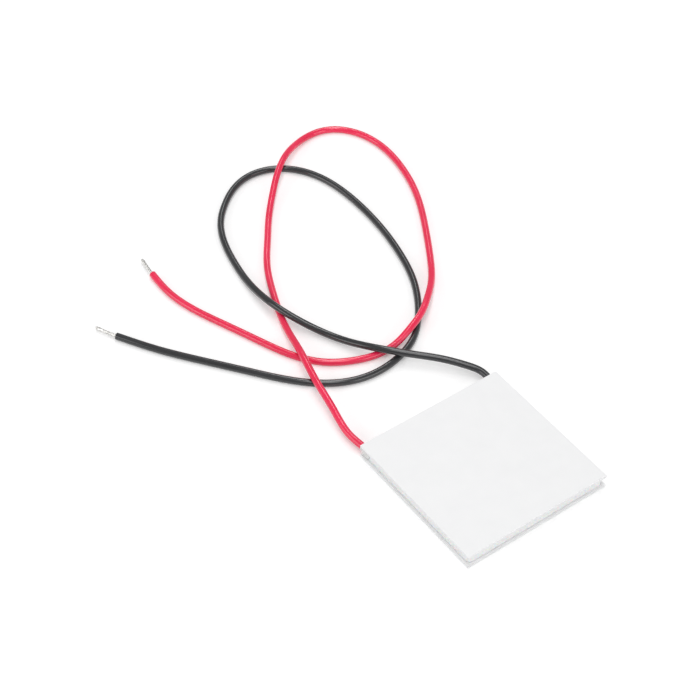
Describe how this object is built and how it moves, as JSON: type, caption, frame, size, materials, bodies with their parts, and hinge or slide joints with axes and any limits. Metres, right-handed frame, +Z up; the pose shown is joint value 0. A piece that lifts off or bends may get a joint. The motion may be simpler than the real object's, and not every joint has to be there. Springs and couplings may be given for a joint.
{
  "type": "thermoelectric cooling module",
  "caption": "Square ceramic thermoelectric cooler: two thin alumina plates over sealed semiconductor legs, with a red and a black lead curled beside it and stripped, tinned ends.",
  "frame": {"origin": "middle of the hot plate's outer face, the middle of the module's underside, leads left out", "axes": "+Z up, out of the cold plate; the leads leave through the -X side, the red one at -Y and the black one at +Y"},
  "size_m": [0.1414, 0.0999, 0.0039],
  "materials": {
    "alumina": "matt, as fired",
    "seal_silicone": "satin white silicone",
    "lead_sealant": "glossy, slightly translucent",
    "copper_tab": "bare copper, satin",
    "solder": "dull tin alloy",
    "n_type": "sawn bismuth telluride, grey",
    "p_type": "sawn bismuth telluride, darker grey",
    "tinned_copper": "tinned strands",
    "red_insulation": "glossy red",
    "black_insulation": "glossy black, bare of print"
  },
  "bodies": {
    "root": {"hot_side_plate": "alumina", "cold_side_plate": "alumina", "edge_seal": "seal_silicone", "red_terminal_tab": "copper_tab", "black_terminal_tab": "copper_tab", "cold_link_tabs": "copper_tab", "hot_solder": "solder", "cold_solder": "solder", "red_lead_conductor": "tinned_copper", "black_lead_conductor": "tinned_copper", "red_lead_joint": "solder", "black_lead_joint": "solder", "red_lead_sealant": "lead_sealant", "black_lead_sealant": "lead_sealant", "red_lead": "red_insulation", "black_lead": "black_insulation", "red_lead_tip": "tinned_copper", "black_lead_tip": "tinned_copper", "n_legs_1": "n_type", "p_legs_1": "p_type", "hot_tabs_1": "copper_tab", "cold_tabs_1": "copper_tab", "n_legs_2": "n_type", "p_legs_2": "p_type", "hot_tabs_2": "copper_tab", "cold_tabs_2": "copper_tab", "n_legs_3": "n_type", "p_legs_3": "p_type", "hot_tabs_3": "copper_tab", "cold_tabs_3": "copper_tab", "n_legs_4": "n_type", "p_legs_4": "p_type", "hot_tabs_4": "copper_tab", "cold_tabs_4": "copper_tab", "n_legs_5": "n_type", "p_legs_5": "p_type", "hot_tabs_5": "copper_tab", "cold_tabs_5": "copper_tab", "n_legs_6": "n_type", "p_legs_6": "p_type", "hot_tabs_6": "copper_tab", "cold_tabs_6": "copper_tab", "n_legs_7": "n_type", "p_legs_7": "p_type", "hot_tabs_7": "copper_tab", "cold_tabs_7": "copper_tab", "n_legs_8": "n_type", "p_legs_8": "p_type", "hot_tabs_8": "copper_tab", "cold_tabs_8": "copper_tab"}
  },
  "joints": []
}
